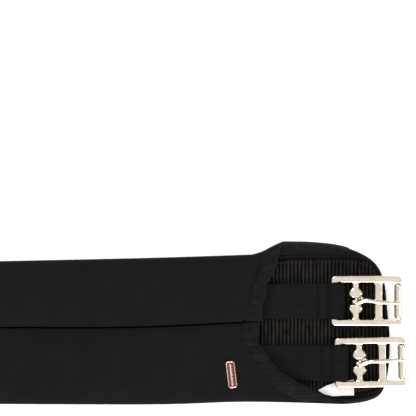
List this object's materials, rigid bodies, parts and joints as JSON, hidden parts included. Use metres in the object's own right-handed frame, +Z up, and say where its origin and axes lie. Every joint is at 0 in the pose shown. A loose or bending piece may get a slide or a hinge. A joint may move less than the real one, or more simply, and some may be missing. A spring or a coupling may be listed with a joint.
{
  "type": "saddle girth",
  "caption": "Short padded saddle girth: folded neoprene over load webbing, with elastic straps and roller buckles at both ends.",
  "frame": {"origin": "middle of the girth's length and width, on the surface it lies on, horse side down", "axes": "+X along the girth, +Y across it towards the cut-in edge, +Z up, away from the horse"},
  "size_m": [0.652, 0.115, 0.0172],
  "materials": {
    "neoprene": "matte",
    "foam": "matte",
    "webbing": "satin",
    "binding": "matte",
    "badge": "satin",
    "label": "matte",
    "elastic": "matte",
    "thread": "matte",
    "buckle_metal": "polished"
  },
  "bodies": {
    "girth": {"horse_side_pad": "neoprene", "load_webbing": "webbing", "core_foam": "foam", "upper_wing": "neoprene", "lower_wing": "neoprene", "binding_upper_right": "binding", "binding_lower_right": "binding", "binding_upper_left": "binding", "binding_lower_left": "binding", "badge_plate": "badge", "size_label": "label", "elastic_strap_upper_right": "elastic", "anchor_stitch_upper_right": "thread", "elastic_strap_lower_right": "elastic", "anchor_stitch_lower_right": "thread", "elastic_strap_upper_left": "elastic", "anchor_stitch_upper_left": "thread", "elastic_strap_lower_left": "elastic", "anchor_stitch_lower_left": "thread"},
    "strap_end_upper_right": {"strap_loop_upper_right": "elastic", "fold_stitch_upper_right": "thread"},
    "buckle_upper_right": {"buckle_frame_upper_right": "buckle_metal"},
    "tongue_upper_right": {"buckle_tongue_upper_right": "buckle_metal"},
    "roller_upper_right": {"buckle_roller_upper_right": "buckle_metal"},
    "strap_end_lower_right": {"strap_loop_lower_right": "elastic", "fold_stitch_lower_right": "thread"},
    "buckle_lower_right": {"buckle_frame_lower_right": "buckle_metal"},
    "tongue_lower_right": {"buckle_tongue_lower_right": "buckle_metal"},
    "roller_lower_right": {"buckle_roller_lower_right": "buckle_metal"},
    "strap_end_upper_left": {"strap_loop_upper_left": "elastic", "fold_stitch_upper_left": "thread"},
    "buckle_upper_left": {"buckle_frame_upper_left": "buckle_metal"},
    "tongue_upper_left": {"buckle_tongue_upper_left": "buckle_metal"},
    "roller_upper_left": {"buckle_roller_upper_left": "buckle_metal"},
    "strap_end_lower_left": {"strap_loop_lower_left": "elastic", "fold_stitch_lower_left": "thread"},
    "buckle_lower_left": {"buckle_frame_lower_left": "buckle_metal"},
    "tongue_lower_left": {"buckle_tongue_lower_left": "buckle_metal"},
    "roller_lower_left": {"buckle_roller_lower_left": "buckle_metal"}
  },
  "joints": [
    {"name": "strap_stretch_upper_right", "type": "slide", "parent": "girth", "child": "strap_end_upper_right", "axis": [1, 0, 0], "range_m": [0, 0.02], "stiffness_N_per_m": 4500, "deforming": ["elastic_strap_upper_right"]},
    {"name": "buckle_swing_upper_right", "type": "hinge", "parent": "strap_end_upper_right", "child": "buckle_upper_right", "pos_m": [0.275, 0.0159, 0.0113], "axis": [0, -1, 0], "range_deg": [0, 135]},
    {"name": "tongue_lift_upper_right", "type": "hinge", "parent": "buckle_upper_right", "child": "tongue_upper_right", "pos_m": [0.2902, 0.0159, 0.0113], "axis": [0, 1, 0], "range_deg": [-135, 0]},
    {"name": "roller_spin_upper_right", "type": "hinge", "parent": "buckle_upper_right", "child": "roller_upper_right", "pos_m": [0.3202, 0.0159, 0.0113], "axis": [0, 1, 0], "continuous": true},
    {"name": "strap_stretch_lower_right", "type": "slide", "parent": "girth", "child": "strap_end_lower_right", "axis": [1, 0, 0], "range_m": [0, 0.02], "stiffness_N_per_m": 4500, "deforming": ["elastic_strap_lower_right"]},
    {"name": "buckle_swing_lower_right", "type": "hinge", "parent": "strap_end_lower_right", "child": "buckle_lower_right", "pos_m": [0.2776, -0.028, 0.0113], "axis": [0.0209, -0.9998, 0], "range_deg": [0, 135]},
    {"name": "tongue_lift_lower_right", "type": "hinge", "parent": "buckle_lower_right", "child": "tongue_lower_right", "pos_m": [0.2928, -0.02768, 0.0113], "axis": [-0.0209, 0.9998, 0], "range_deg": [-135, 0]},
    {"name": "roller_spin_lower_right", "type": "hinge", "parent": "buckle_lower_right", "child": "roller_lower_right", "pos_m": [0.32279, -0.02705, 0.0113], "axis": [-0.0209, 0.9998, 0], "continuous": true},
    {"name": "strap_stretch_upper_left", "type": "slide", "parent": "girth", "child": "strap_end_upper_left", "axis": [-1, 0, 0], "range_m": [0, 0.02], "stiffness_N_per_m": 4500, "deforming": ["elastic_strap_upper_left"]},
    {"name": "buckle_swing_upper_left", "type": "hinge", "parent": "strap_end_upper_left", "child": "buckle_upper_left", "pos_m": [-0.275, 0.0159, 0.0113], "axis": [0, 1, 0], "range_deg": [0, 135]},
    {"name": "tongue_lift_upper_left", "type": "hinge", "parent": "buckle_upper_left", "child": "tongue_upper_left", "pos_m": [-0.2902, 0.0159, 0.0113], "axis": [0, -1, 0], "range_deg": [-135, 0]},
    {"name": "roller_spin_upper_left", "type": "hinge", "parent": "buckle_upper_left", "child": "roller_upper_left", "pos_m": [-0.3202, 0.0159, 0.0113], "axis": [0, -1, 0], "continuous": true},
    {"name": "strap_stretch_lower_left", "type": "slide", "parent": "girth", "child": "strap_end_lower_left", "axis": [-1, 0, 0], "range_m": [0, 0.02], "stiffness_N_per_m": 4500, "deforming": ["elastic_strap_lower_left"]},
    {"name": "buckle_swing_lower_left", "type": "hinge", "parent": "strap_end_lower_left", "child": "buckle_lower_left", "pos_m": [-0.2776, -0.028, 0.0113], "axis": [0.0209, 0.9998, 0], "range_deg": [0, 135]},
    {"name": "tongue_lift_lower_left", "type": "hinge", "parent": "buckle_lower_left", "child": "tongue_lower_left", "pos_m": [-0.2928, -0.02768, 0.0113], "axis": [-0.0209, -0.9998, 0], "range_deg": [-135, 0]},
    {"name": "roller_spin_lower_left", "type": "hinge", "parent": "buckle_lower_left", "child": "roller_lower_left", "pos_m": [-0.32279, -0.02705, 0.0113], "axis": [-0.0209, -0.9998, 0], "continuous": true}
  ]
}
